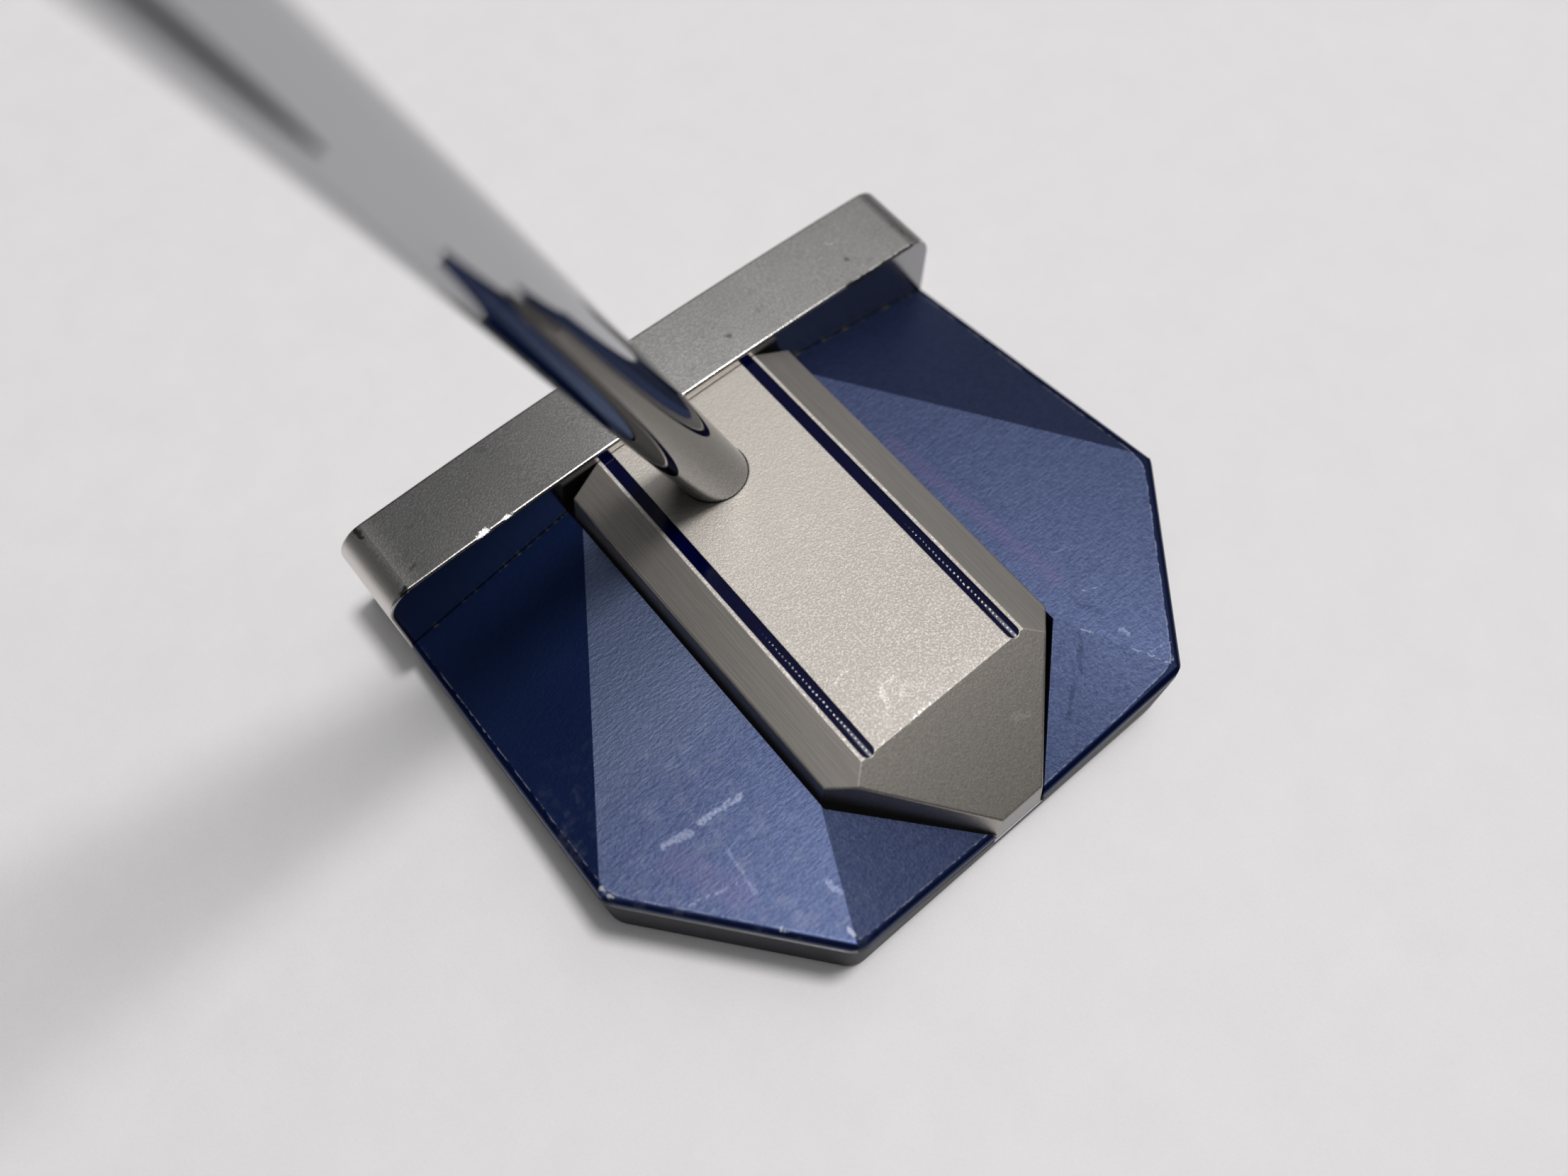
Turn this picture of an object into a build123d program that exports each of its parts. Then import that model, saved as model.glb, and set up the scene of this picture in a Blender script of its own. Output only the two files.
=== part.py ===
"""Centre-shafted mallet putter, built as the separate pieces it is assembled from.

Working frame while modelling: the top front edge of the face bar lies in y = 0, the head runs back
along +Y, +X is the heel side, -X the toe side and z = 0 is the ground under the sole. Every piece is
moved forward by half the head depth when it is written, so the origin is the middle of the sole.
All lengths are in millimetres and all angles in degrees.
"""

import os
from math import cos, radians, sin, tan

from build123d import *

# ---- driving dimensions -------------------------------------------------------------------------

HEAD_DEPTH = 87.4          # face to the rear edge
SOLE_EDGE_RADIUS = 1.4
CORNER_RADIUS = 4.0        # plan corners of the head

# face bar
BAR_WIDTH = 100.0
BAR_DEPTH = 13.0
BAR_TOP = 22.4             # crown height on the centre line
CROWN_RADIUS = 714.0       # the top of the bar is a shallow arch from heel to toe
BAR_END_RADIUS = 4.6
BAR_FOOT_RADIUS = 2.2
BAR_EDGE_RADIUS = 0.45
LOFT = 3.0

# face insert
INSERT_WIDTH = 66.0
INSERT_HEIGHT = 14.0
INSERT_MIDDLE_Z = 10.6
INSERT_DEPTH = 3.6
INSERT_CORNER = 3.0
INSERT_CLEARANCE = 0.08
BOND_THICKNESS = 0.3
FACE_GROOVES = 9
FACE_GROOVE_PITCH = 1.3
FACE_GROOVE_WIDTH = 0.5
FACE_GROOVE_DEPTH = 0.2

# heel-side facet corners of the wing, x, y, z (the toe side is a mirror image)
FRONT_RIDGE_INNER = (21.0, 17.1, 14.46)
FRONT_RIDGE_OUTER = (49.0, 59.6, 15.39)
REAR_RIDGE_INNER = (21.2, 70.4, 15.02)
REAR_RIDGE_OUTER = (28.3, 84.9, 15.29)
BAR_CORNER_LOW = (50.0, 13.0, 7.22)
TAIL_CORNER_LOW = (4.5, 86.6, 8.8)
WING_SKIN = 1.2
WING_ROUND = 1.0
WING_OUTER = ((50.0, 13.1), (50.2, 62.0), (29.2, 87.35))
BOSS_RADIUS = 4.0
WING_SCREW_SPOTS = ((36.0, 50.0), (26.5, 76.0))

# base pan
BASE_PROUD = 0.12          # the base stands this far outside the wings
BASE_FLOOR = 3.0
BASE_WALL = 2.6
SPINE_SEAT_Z = 6.2
FRONT_WALL_BACK = 17.2
SOLE_PANEL = ((23.0, 19.0), (47.0, 19.0), (47.0, 60.5), (28.0, 83.5), (23.0, 83.5))
SOLE_PANEL_DEPTH = 0.5
SOLE_PANEL_CORNER = 3.0
POCKET_CORNER = 1.5

# spine
SPINE_TOP_Z = 20.58
SPINE_FRONT_Y = 13.06
SHOULDER_FRONT_Y = 14.4    # the outer corners stand a little further back from the bar
TOP_HALF_WIDTH = 14.35
RIM_HALF_WIDTH = 19.95
RIM_Z = 18.27
RIM_END_Y = 69.3
TOP_END_Y = 70.0
TAIL_TOP = (86.63, 13.04)  # y, z of the upper edge of the tail
TAIL_FOOT = (87.38, 6.2)
WALL_DRAFT = 8.0
SPINE_RIM_RADIUS = 0.45
SPINE_SHELL = 2.4
CHANNEL_HALF_WIDTH = 22.0  # in the base, around the foot of the spine
CHANNEL_NOSE_SUM = 92.1    # x + y along the slanting end of the channel
WINDOW_HALF_WIDTH = 21.0   # between the wings, narrower so that they trap the spine's foot
WINDOW_NOSE_SUM = 91.65

# sight lines
LINE_MIDDLE_X = 12.9
LINE_WIDTH = 1.87
LINE_DEPTH = 0.8
PAINT_DEPTH = 0.55
LINE_END_Y = 70.3

# shaft
LIE = 70.3
CLUB_LENGTH = 889.0        # 35 inches, along the shaft from the ground to the end of the grip
SHAFT_ENTRY_X = 2.6        # where the shaft axis leaves the spine
SHAFT_ENTRY_Y = 24.9
TIP_DIAMETER = 9.4         # 0.370 inch parallel tip
BUTT_DIAMETER = 15.2
SHAFT_WALL = 0.45
FIRST_STEP = 250.0
STEP_PITCH = 25.0
STEP_COUNT = 14
STEP_CONE = 1.6
GLUE_LINE = 0.08
SHAFT_END_Z = 6.6
PLUG_LENGTH = 8.0
HOSEL_BOSS_RADIUS = 10.5
HOSEL_BOSS_FOOT = 3.2

# grip
GRIP_LENGTH = 267.0
TAPE_THICKNESS = 0.15
TAPE_START = 4.0           # from the grip mouth
CAP_THICKNESS = 3.0
CAP_ROUNDING = ((0.0, 0.0), (0.6, 0.4), (1.0, 1.8))  # share of the cap's height, step in from its edge
CAP_PLUG_LENGTH = 12.0
VENT_RADIUS = 1.2

# screws, dowels and weights
M3 = {"thread": 3.0, "head": 5.5, "height": 3.0, "cone": 1.5, "hex": 2.5, "socket": 1.6}
M4 = {"thread": 4.0, "head": 8.0, "cone": 2.3, "hex": 2.5}
SOCKET_SHARE = 0.7         # depth of a countersunk screw's socket over the height of its cone
FIT_CLEARANCE = 0.05       # between a round part and its hole, on the radius
END_CLEARANCE = 0.2        # at the blind end of a hole
BAR_SCREW_X = 30.0
BAR_SCREW_Z = 6.1
BAR_SCREW_LENGTH = 9.0
BAR_THREAD_DEPTH = 6.5
BAR_DOWEL_X = 16.5
BAR_DOWEL_Z = 3.3
DOWEL_RADIUS = 1.5
BAR_DOWEL_LENGTH = 12.0
SPINE_DOWEL_SPOTS = ((13.0, 59.0), (-13.0, 59.0))
SPINE_DOWEL_LENGTH = 8.0
SPINE_SCREW_SPOTS = ((0.0, 52.0), (0.0, 67.0))
SPINE_SCREW_LENGTH = 12.0
SPINE_THREAD_DEPTH = 7.2
WING_SCREW_LENGTH = 8.0
WING_THREAD_DEPTH = 6.5
WEIGHT_SPOT = (36.5, 33.0)
WEIGHT_RADIUS = 7.5
WEIGHT_FLANGE_RADIUS = 9.0
WEIGHT_HEIGHT = 5.6
WEIGHT_FLANGE = 1.6
WEIGHT_CHAMFER = 0.4
WEIGHT_HEX = 6.0
WEIGHT_SOCKET_DEPTH = 3.2
WEIGHT_COLUMN_WALL = 2.0
WEIGHT_ROOF = 1.6
SEAL_HEIGHT = 0.6
SEAL_INSET = 0.2

BIG = 400.0
ABOVE_HEAD = 30.0
TOP = (Align.CENTER, Align.CENTER, Align.MAX)
BOTTOM = (Align.CENTER, Align.CENTER, Align.MIN)


# ---- helpers ------------------------------------------------------------------------------------

def below(point, normal, grow=0.0):
    """Everything under the plane through point, moved out along its normal by grow."""
    direction = Vector(*normal).normalized()
    return Plane(origin=Vector(*point) + direction * grow, z_dir=direction) * Box(BIG, BIG, BIG, align=TOP)


def facet(a, b, c):
    """A point and the upward normal of the plane through three corners."""
    normal = (Vector(*b) - Vector(*a)).cross(Vector(*c) - Vector(*a))
    if normal.Z < 0:
        normal = normal * -1
    return a, (normal.X, normal.Y, normal.Z)


def peg(x, y, low, high, radius):
    """An upright cylinder between two heights."""
    return Pos(x, y, low) * Cylinder(radius, high - low, align=BOTTOM)


def both_sides(piece):
    """The heel-side piece and its toe-side mirror image."""
    return piece, mirror(piece, about=Plane.YZ)


def merged(*pieces):
    """One clean solid from pieces that touch or overlap."""
    total = pieces[0]
    for piece in pieces[1:]:
        total = total + piece
    return total.clean()


def on_shaft(piece):
    """Moves a piece built around the Z axis, with z measured along the shaft from the ground."""
    foot_x = SHAFT_ENTRY_X - SPINE_TOP_Z / tan(radians(LIE))
    return Pos(foot_x, SHAFT_ENTRY_Y, 0) * Rot(0, 90 - LIE, 0) * piece


def along_shaft(height):
    """Distance along the shaft from the ground to a height on its axis."""
    return height / sin(radians(LIE))


def write(name, *solids):
    """Writes one node, holding one solid or a group of identical ones."""
    moved = [Pos(0, -HEAD_DEPTH / 2, 0) * solid for solid in solids]
    export_step(moved[0] if len(moved) == 1 else Compound(children=moved), f"parts/{name}.step")


# ---- shapes shared by several pieces ------------------------------------------------------------

FACETS = (
    facet(FRONT_RIDGE_INNER, FRONT_RIDGE_OUTER, BAR_CORNER_LOW),
    facet(FRONT_RIDGE_INNER, FRONT_RIDGE_OUTER, REAR_RIDGE_OUTER),
    facet(REAR_RIDGE_INNER, REAR_RIDGE_OUTER, TAIL_CORNER_LOW),
)


def facet_z(index, x, y):
    """Height of one facet's plane over a heel-side point."""
    point, normal = FACETS[index]
    return point[2] - (normal[0] * (x - point[0]) + normal[1] * (y - point[1])) / normal[2]


def half_head(proud, front_y):
    """Heel half of the head's plan outline, with rounded outer corners."""
    (front_x, _), (side_x, side_y), (rear_x, rear_y) = WING_OUTER
    side_corner = (side_x + proud, side_y + proud / 2)
    rear_corner = (rear_x + proud / 2, rear_y + proud)
    points = [(0, front_y), (front_x + proud / 4, front_y), side_corner, rear_corner, (0, rear_y + proud)]
    outline = make_face(Polyline(*points, close=True))
    corners = [v for v in outline.vertices()
               if (Vector(*side_corner) - v.center()).length < 0.01
               or (Vector(*rear_corner) - v.center()).length < 0.01]
    return fillet(corners, CORNER_RADIUS)


def under_facets(solid, drop):
    """The part of a heel-side solid that lies under the facets, lowered by drop."""
    for point, normal in FACETS:
        solid = solid & below((point[0], point[1], point[2] - drop), normal)
    return solid


def spine_envelope(inset=0.0, foot=SPINE_SEAT_Z):
    """The spine's outer form: flat top, chamfered shoulders, sloping nose and drafted walls."""
    draft = tan(radians(WALL_DRAFT))
    shoulder = (SPINE_TOP_Z - RIM_Z, 0, RIM_HALF_WIDTH - TOP_HALF_WIDTH)
    nose = (0, SPINE_TOP_Z - TAIL_TOP[1], TAIL_TOP[0] - TOP_END_Y)
    tail = (0, TAIL_TOP[1] - TAIL_FOOT[1], TAIL_FOOT[0] - TAIL_TOP[0])
    slant = cos(radians(45))
    front = SPINE_FRONT_Y + inset
    block = Box(BIG / 4, HEAD_DEPTH, ABOVE_HEAD, align=(Align.CENTER, Align.MIN, Align.MIN))
    body = Pos(0, front, foot) * block
    body = body & below((0, 0, SPINE_TOP_Z), (0, 0, 1), -inset)
    body = body & below((0, TOP_END_Y, SPINE_TOP_Z), nose, -inset)
    body = body & below((0, *TAIL_TOP), tail, -inset)
    for side in (1, -1):
        rim = (side * RIM_HALF_WIDTH, RIM_END_Y, RIM_Z)
        top_edge = (side * TOP_HALF_WIDTH, 0, SPINE_TOP_Z)
        body = body & below(top_edge, (side * shoulder[0], 0, shoulder[2]), -inset)
        front_corner = (side * (SHOULDER_FRONT_Y - SPINE_FRONT_Y), TOP_HALF_WIDTH - RIM_HALF_WIDTH, 0)
        body = body & below((side * TOP_HALF_WIDTH, SPINE_FRONT_Y, 0), front_corner, -inset)
        body = body & below(rim, (side, 0, draft), -inset)
        body = body & below(rim, (side * slant, slant, draft), -inset)
    return body


def keel_slot(half_width, nose_sum, low):
    """Upright slot along the head with a pointed end, open at the face bar."""
    points = [(-half_width, 0), (half_width, 0), (half_width, nose_sum - half_width), (0, nose_sum),
              (-half_width, nose_sum - half_width)]
    return Pos(0, 0, low) * extrude(make_face(Polyline(*points, close=True)), ABOVE_HEAD)


def shaft_bore(radius, end_z):
    """The slanting hole that holds the shaft, open at the top of the spine."""
    start = along_shaft(end_z)
    return on_shaft(Pos(0, 0, start) * Cylinder(radius, ABOVE_HEAD * 2, align=BOTTOM))


def countersunk_screw(x, y, length, size):
    """A flat-head screw driven up from the sole, with a hex socket."""
    head_radius = size["head"] / 2
    thread_radius = size["thread"] / 2
    cone = Pos(x, y, SOLE_PANEL_DEPTH) * Cone(head_radius, thread_radius, size["cone"], align=BOTTOM)
    shank = peg(x, y, SOLE_PANEL_DEPTH, SOLE_PANEL_DEPTH + length, thread_radius)
    socket_top = SOLE_PANEL_DEPTH + size["cone"] * SOCKET_SHARE
    socket = Pos(x, y, 0) * extrude(RegularPolygon(size["hex"] / 2, 6), socket_top)
    return merged(cone, shank) - socket


def countersunk_hole(x, y, top, size):
    """The seat of a flat-head screw through the base."""
    head_radius = size["head"] / 2 + FIT_CLEARANCE
    thread_radius = size["thread"] / 2 + FIT_CLEARANCE
    cone = Pos(x, y, SOLE_PANEL_DEPTH) * Cone(head_radius, thread_radius, size["cone"], align=BOTTOM)
    mouth = peg(x, y, -1, SOLE_PANEL_DEPTH, head_radius)
    return merged(cone, mouth, peg(x, y, 0, top, thread_radius))


# ---- face bar and its insert --------------------------------------------------------------------

def face_plane():
    """The lofted striking face, with its normal pointing forward."""
    return Plane(origin=(0, 0, BAR_TOP), x_dir=(1, 0, 0), z_dir=(0, -cos(radians(LOFT)), sin(radians(LOFT))))


def bar_profile():
    """Front view of the bar: arched top, rounded shoulders and feet."""
    half = BAR_WIDTH / 2
    end_z = BAR_TOP - half ** 2 / (2 * CROWN_RADIUS)
    top = ThreePointArc((-half, end_z), (0, BAR_TOP), (half, end_z))
    sides = Polyline((half, end_z), (half, 0), (-half, 0), (-half, end_z))
    outline = make_face(top + sides)
    shoulders = [v for v in outline.vertices() if v.Y > end_z / 2]
    outline = fillet(shoulders, BAR_END_RADIUS)
    feet = [v for v in outline.vertices() if v.Y < BAR_FOOT_RADIUS and abs(v.X) > half - 1]
    return fillet(feet, BAR_FOOT_RADIUS)


def insert_block(width, height, front, back):
    """A rounded slab square to the face, between two depths behind it."""
    drop = (BAR_TOP - INSERT_MIDDLE_Z) / cos(radians(LOFT))
    outline = Pos(0, -drop, -back) * RectangleRounded(width, height, INSERT_CORNER)
    return face_plane() * extrude(outline, back - front)


def face_bar():
    depth = BAR_DEPTH + BAR_TOP * tan(radians(LOFT))
    rear_plane = Plane(origin=(0, BAR_DEPTH, 0), x_dir=(1, 0, 0), z_dir=(0, -1, 0))
    bar = extrude(rear_plane * bar_profile(), depth)
    bar = bar & below((0, 0, BAR_TOP), tuple(face_plane().z_dir))
    front = bar.faces().sort_by(Axis.Y)[0]
    rear = bar.faces().sort_by(Axis.Y)[-1]
    bar = fillet(front.edges() + rear.edges(), BAR_EDGE_RADIUS)
    bar = bar - insert_block(INSERT_WIDTH, INSERT_HEIGHT, -1, INSERT_DEPTH + BOND_THICKNESS)
    for side in (1, -1):
        bar = bar - rod_along_y(side * BAR_SCREW_X, BAR_SCREW_Z, BAR_DEPTH - BAR_THREAD_DEPTH, BAR_DEPTH,
                                M3["thread"] / 2 + FIT_CLEARANCE)
        dowel_end = BAR_DEPTH - BAR_DOWEL_LENGTH / 2 - END_CLEARANCE
        bar = bar - rod_along_y(side * BAR_DOWEL_X, BAR_DOWEL_Z, dowel_end, BAR_DEPTH,
                                DOWEL_RADIUS + FIT_CLEARANCE)
    return bar


def rod_along_y(x, z, start_y, end_y, radius):
    """A round rod running front to back."""
    return Pos(x, start_y, z) * Rot(-90, 0, 0) * Cylinder(radius, end_y - start_y, align=BOTTOM)


def face_insert():
    gap = 2 * INSERT_CLEARANCE
    insert = insert_block(INSERT_WIDTH - gap, INSERT_HEIGHT - gap, 0, INSERT_DEPTH)
    drop = (BAR_TOP - INSERT_MIDDLE_Z) / cos(radians(LOFT))
    for row in range(FACE_GROOVES):
        offset = (row - (FACE_GROOVES - 1) / 2) * FACE_GROOVE_PITCH
        groove = Pos(0, offset - drop, 0) * Box(INSERT_WIDTH - 2 * INSERT_CORNER, FACE_GROOVE_WIDTH,
                                                2 * FACE_GROOVE_DEPTH)
        insert = insert - face_plane() * groove
    return insert


def insert_bond():
    return insert_block(INSERT_WIDTH - 2, INSERT_HEIGHT - 2, INSERT_DEPTH, INSERT_DEPTH + BOND_THICKNESS)


# ---- base pan and wings -------------------------------------------------------------------------

def wing_pocket():
    """Hollow of the heel side of the base, between the outer wall and the spine channel."""
    (_, _), (side_x, side_y), (rear_x, rear_y) = WING_OUTER
    channel_wall = CHANNEL_HALF_WIDTH + BASE_WALL
    nose_sum = CHANNEL_NOSE_SUM + BASE_WALL / cos(radians(45))
    back = rear_y - BASE_WALL
    points = [
        (channel_wall, FRONT_WALL_BACK),
        (side_x - BASE_WALL, FRONT_WALL_BACK),
        (side_x - BASE_WALL, side_y - BASE_WALL / 2),
        (rear_x - BASE_WALL / 2, back),
        (nose_sum - back, back),
        (channel_wall, nose_sum - channel_wall),
    ]
    outline = make_face(Polyline(*points, close=True))
    return Pos(0, 0, BASE_FLOOR) * extrude(fillet(outline.vertices(), POCKET_CORNER), ABOVE_HEAD)


def sole_panel():
    """Shallow recess in the heel side of the sole that takes the screw heads and the weight."""
    outline = make_face(Polyline(*SOLE_PANEL, close=True))
    return Pos(0, 0, -1) * extrude(fillet(outline.vertices(), SOLE_PANEL_CORNER), 1 + SOLE_PANEL_DEPTH)


def base_half():
    """Heel half of the base pan, before the two halves are joined."""
    half = under_facets(extrude(half_head(BASE_PROUD, BAR_DEPTH), ABOVE_HEAD), WING_SKIN)
    column_top = SOLE_PANEL_DEPTH + WEIGHT_HEIGHT + END_CLEARANCE + WEIGHT_ROOF
    column = peg(*WEIGHT_SPOT, 0, column_top, WEIGHT_FLANGE_RADIUS + WEIGHT_COLUMN_WALL)
    half = half - (wing_pocket() - column)
    half = half - sole_panel()
    flange_top = SOLE_PANEL_DEPTH + WEIGHT_FLANGE + SEAL_HEIGHT
    half = half - peg(*WEIGHT_SPOT, -1, flange_top, WEIGHT_FLANGE_RADIUS + FIT_CLEARANCE)
    half = half - peg(*WEIGHT_SPOT, 0, column_top - WEIGHT_ROOF, WEIGHT_RADIUS + FIT_CLEARANCE)
    half = half - rod_along_y(BAR_SCREW_X, BAR_SCREW_Z, BAR_DEPTH - 1, FRONT_WALL_BACK + 1,
                              M3["thread"] / 2 + FIT_CLEARANCE)
    dowel_end = BAR_DEPTH + BAR_DOWEL_LENGTH / 2 + END_CLEARANCE
    half = half - rod_along_y(BAR_DOWEL_X, BAR_DOWEL_Z, BAR_DEPTH - 1, dowel_end,
                              DOWEL_RADIUS + FIT_CLEARANCE)
    for x, y in WING_SCREW_SPOTS:
        half = half - countersunk_hole(x, y, BASE_FLOOR + 1, M3)
    return half


def hosel_axis_point(height):
    """Plan position of the shaft axis at a height."""
    return SHAFT_ENTRY_X - (SPINE_TOP_Z - height) / tan(radians(LIE)), SHAFT_ENTRY_Y


def base_pan():
    base = merged(*both_sides(base_half()))
    base = base - keel_slot(CHANNEL_HALF_WIDTH, CHANNEL_NOSE_SUM, SPINE_SEAT_Z)
    base = base - peg(*hosel_axis_point(SPINE_SEAT_Z), HOSEL_BOSS_FOOT, ABOVE_HEAD, HOSEL_BOSS_RADIUS + 0.1)
    for x, y in SPINE_DOWEL_SPOTS:
        low = SPINE_SEAT_Z - SPINE_DOWEL_LENGTH / 2 - END_CLEARANCE
        base = base - peg(x, y, low, ABOVE_HEAD, DOWEL_RADIUS + FIT_CLEARANCE)
    for x, y in SPINE_SCREW_SPOTS:
        base = base - countersunk_hole(x, y, SPINE_SEAT_Z + 1, M4)
    sole = base.faces().sort_by(Axis.Z)[0]
    rim = [edge for edge in sole.outer_wire().edges() if edge.center().Y > BAR_DEPTH + 1]
    return fillet(rim, SOLE_EDGE_RADIUS)


def rounded_rim(start, end, index):
    """Everything inside one straight stretch of the wing's rim, whose upper edge is rounded."""
    first = Vector(*start, facet_z(index, *start))
    run = (Vector(*end, facet_z(index, *end)) - first).normalized()
    outward = Vector(run.Y, -run.X, 0).normalized()
    across = Plane(origin=first, x_dir=outward, z_dir=run)
    inward = Vector(*FACETS[index][1]).cross(run).normalized() * BIG
    facet_end = (inward.dot(outward), inward.dot(across.y_dir))
    profile = make_face(Polyline((0, 0), (0, BIG), (-BIG, BIG), facet_end, close=True))
    edge_corner = [v for v in profile.vertices() if v.center().length < 0.01]
    return extrude(across * fillet(edge_corner, WING_ROUND), BIG / 2, both=True)


def wing():
    """Heel wing: a thin folded skin with two tapped bosses under it."""
    blank = extrude(half_head(0.0, WING_OUTER[0][1]), ABOVE_HEAD)
    rim = WING_OUTER + ((0.0, WING_OUTER[2][1]),)
    skin = under_facets(blank, 0.0)
    for index in range(len(FACETS)):
        skin = skin & rounded_rim(rim[index], rim[index + 1], index)
    skin = skin - under_facets(blank, WING_SKIN)
    for x, y in WING_SCREW_SPOTS:
        boss = under_facets(peg(x, y, BASE_FLOOR + FIT_CLEARANCE, ABOVE_HEAD, BOSS_RADIUS), WING_SKIN / 2)
        skin = skin + boss
        skin = skin - peg(x, y, 0, BASE_FLOOR + WING_THREAD_DEPTH, M3["thread"] / 2 + FIT_CLEARANCE)
    return (skin - keel_slot(WINDOW_HALF_WIDTH, WINDOW_NOSE_SUM, 0)).clean()


# ---- spine and sight lines ----------------------------------------------------------------------

def sight_slot(side, floor_z, top_z, width):
    """A straight slot with round ends, open at the front of the spine."""
    middle_y = (SPINE_FRONT_Y + LINE_END_Y) / 2
    length = LINE_END_Y - SPINE_FRONT_Y + width
    outline = Pos(side * LINE_MIDDLE_X, middle_y - width / 2) * Rot(0, 0, 90) * SlotOverall(length, width)
    return Pos(0, 0, floor_z) * extrude(outline, top_z - floor_z)


def spine_hollow():
    """Weight-saving hollow under the spine, clear of the shaft boss and the screw bosses."""
    inner = spine_envelope(SPINE_SHELL, 0) & below((0, 0, SPINE_TOP_Z - LINE_DEPTH - SPINE_SHELL), (0, 0, 1))
    for height in (SPINE_SEAT_Z, SPINE_TOP_Z / 2):
        inner = inner - peg(*hosel_axis_point(height), -1, ABOVE_HEAD, HOSEL_BOSS_RADIUS)
    for x, y in SPINE_SCREW_SPOTS + SPINE_DOWEL_SPOTS:
        inner = inner - peg(x, y, -1, ABOVE_HEAD, BOSS_RADIUS)
    return inner


def shoulder_hip(edge):
    """True for the short edge between a chamfered shoulder and the nose."""
    middle = edge.center()
    inside_rim = abs(middle.X) < (TOP_HALF_WIDTH + 2 * RIM_HALF_WIDTH) / 3
    above_rim = middle.Z > (RIM_Z + SPINE_TOP_Z) / 2
    return inside_rim and above_rim and middle.Y > TOP_END_Y


def spine():
    body = spine_envelope()
    rim = [e for e in body.edges() if SPINE_SEAT_Z + 1 < e.center().Z < SPINE_TOP_Z - 0.5
           and e.center().Y > SHOULDER_FRONT_Y + 1 and not shoulder_hip(e)]
    body = fillet(rim, SPINE_RIM_RADIUS)
    body = body - spine_hollow()
    foot = HOSEL_BOSS_FOOT + FIT_CLEARANCE
    body = body + peg(*hosel_axis_point(SPINE_SEAT_Z), foot, SPINE_SEAT_Z + 1, HOSEL_BOSS_RADIUS)
    body = body - shaft_bore(TIP_DIAMETER / 2 + GLUE_LINE, SHAFT_END_Z)
    for side in (1, -1):
        body = body - sight_slot(side, SPINE_TOP_Z - LINE_DEPTH, ABOVE_HEAD, LINE_WIDTH)
    for x, y in SPINE_DOWEL_SPOTS:
        high = SPINE_SEAT_Z + SPINE_DOWEL_LENGTH / 2 + END_CLEARANCE
        body = body - peg(x, y, 0, high, DOWEL_RADIUS + FIT_CLEARANCE)
    for x, y in SPINE_SCREW_SPOTS:
        body = body - peg(x, y, 0, SPINE_SEAT_Z + SPINE_THREAD_DEPTH, M4["thread"] / 2 + FIT_CLEARANCE)
    return body.clean()


def sight_line(side):
    """The glossy paint that fills one groove to just under the top."""
    floor_z = SPINE_TOP_Z - LINE_DEPTH
    return sight_slot(side, floor_z, floor_z + PAINT_DEPTH, LINE_WIDTH) & spine_envelope()


# ---- shaft and what holds it --------------------------------------------------------------------

def tube_outline(start, end, inset):
    """Radius of the stepped shaft from one end to the other, as profile points."""
    points = [(TIP_DIAMETER / 2 - inset, start)]
    rise = (BUTT_DIAMETER - TIP_DIAMETER) / 2 / STEP_COUNT
    for step in range(STEP_COUNT):
        z = FIRST_STEP + step * STEP_PITCH
        radius = TIP_DIAMETER / 2 + step * rise - inset
        points.append((radius, z))
        points.append((radius + rise, z + STEP_CONE))
    points.append((BUTT_DIAMETER / 2 - inset, end))
    return points


def shaft():
    """Stepped steel tube."""
    start = along_shaft(SHAFT_END_Z) + END_CLEARANCE / 2
    end = CLUB_LENGTH - CAP_THICKNESS
    outer = tube_outline(start, end, 0.0)
    inner = tube_outline(start, end, SHAFT_WALL)
    outline = Plane.XZ * make_face(Polyline(*outer, *reversed(inner), close=True))
    return on_shaft(revolve(outline, Axis.Z))


def tube(inner_radius, outer_radius, start, end):
    """A straight sleeve along the shaft."""
    length = end - start
    return Pos(0, 0, start) * (Cylinder(outer_radius, length, align=BOTTOM)
                               - Cylinder(inner_radius, length, align=BOTTOM))


def shaft_epoxy():
    start = along_shaft(SHAFT_END_Z) + END_CLEARANCE / 2
    sleeve = on_shaft(tube(TIP_DIAMETER / 2, TIP_DIAMETER / 2 + GLUE_LINE, start, ABOVE_HEAD))
    return sleeve & below((0, 0, SPINE_TOP_Z), (0, 0, 1))


def shaft_tip_plug():
    start = along_shaft(SHAFT_END_Z) + END_CLEARANCE / 2
    return on_shaft(Pos(0, 0, start) * Cylinder(TIP_DIAMETER / 2 - SHAFT_WALL, PLUG_LENGTH, align=BOTTOM))


# ---- grip ---------------------------------------------------------------------------------------

GRIP_SECTIONS = (
    # distance from the grip mouth, half width, depth behind the axis, depth ahead of it, half of the flat
    (0.0, 8.9, 8.9, 8.8, 1.0),
    (30.0, 9.7, 9.7, 9.1, 4.0),
    (90.0, 10.7, 11.0, 9.6, 6.0),
    (150.0, 11.5, 12.8, 10.1, 7.0),
    (205.0, 12.2, 16.0, 10.6, 7.6),
    (240.0, 12.6, 17.6, 11.0, 7.8),
    (264.0, 12.5, 16.4, 11.0, 7.8),
)


def grip_section(half_width, back, front, flat):
    """One slice of a pistol grip: a flat front, rounded corners and a deeper back."""
    return make_face(
        Line((-front, flat), (-front, -flat))
        + EllipticalCenterArc((0, -flat), front, half_width - flat, start_angle=180, arc_size=90)
        + EllipticalCenterArc((0, 0), back, half_width, start_angle=270, arc_size=180)
        + EllipticalCenterArc((0, flat), front, half_width - flat, start_angle=90, arc_size=90)
    )


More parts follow.
